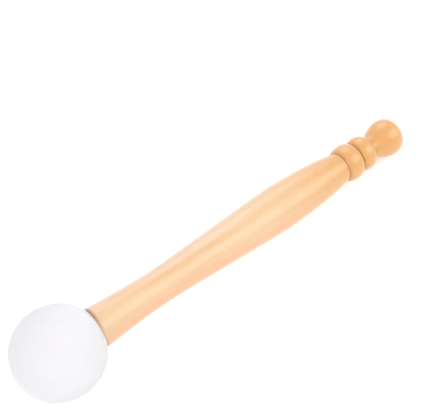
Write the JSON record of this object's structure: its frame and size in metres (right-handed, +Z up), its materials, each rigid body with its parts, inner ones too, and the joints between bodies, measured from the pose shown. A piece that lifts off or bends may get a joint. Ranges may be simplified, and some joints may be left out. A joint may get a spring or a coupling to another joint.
{
  "type": "singing bowl mallet",
  "caption": "Hand mallet with a solid silicone rubber ball on a turned hardwood handle, for striking and rubbing a singing bowl.",
  "frame": {"origin": "on the table plane, below the middle of the mallet's length, as it lies at rest", "axes": "+Z up; +X along the mallet's length from the ball towards the knob; the mallet's own axis droops 3.3 degrees from +X towards the knob, because the ball is thicker than the handle"},
  "size_m": [0.2124, 0.04, 0.04],
  "materials": {
    "silicone_white": "solid silicone rubber, white with a faint cool tint, smooth matt moulded skin",
    "handle_wood": "pale honey-coloured close-grained hardwood such as beech, turned and sealed with a satin clear lacquer",
    "insert_brass": "turned brass with knurled bands",
    "stud_steel": "zinc-plated steel, rolled threads"
  },
  "bodies": {
    "root": {"striker_ball": "silicone_white", "ball_insert": "insert_brass", "head_stud": "stud_steel", "handle": "handle_wood"}
  },
  "joints": []
}
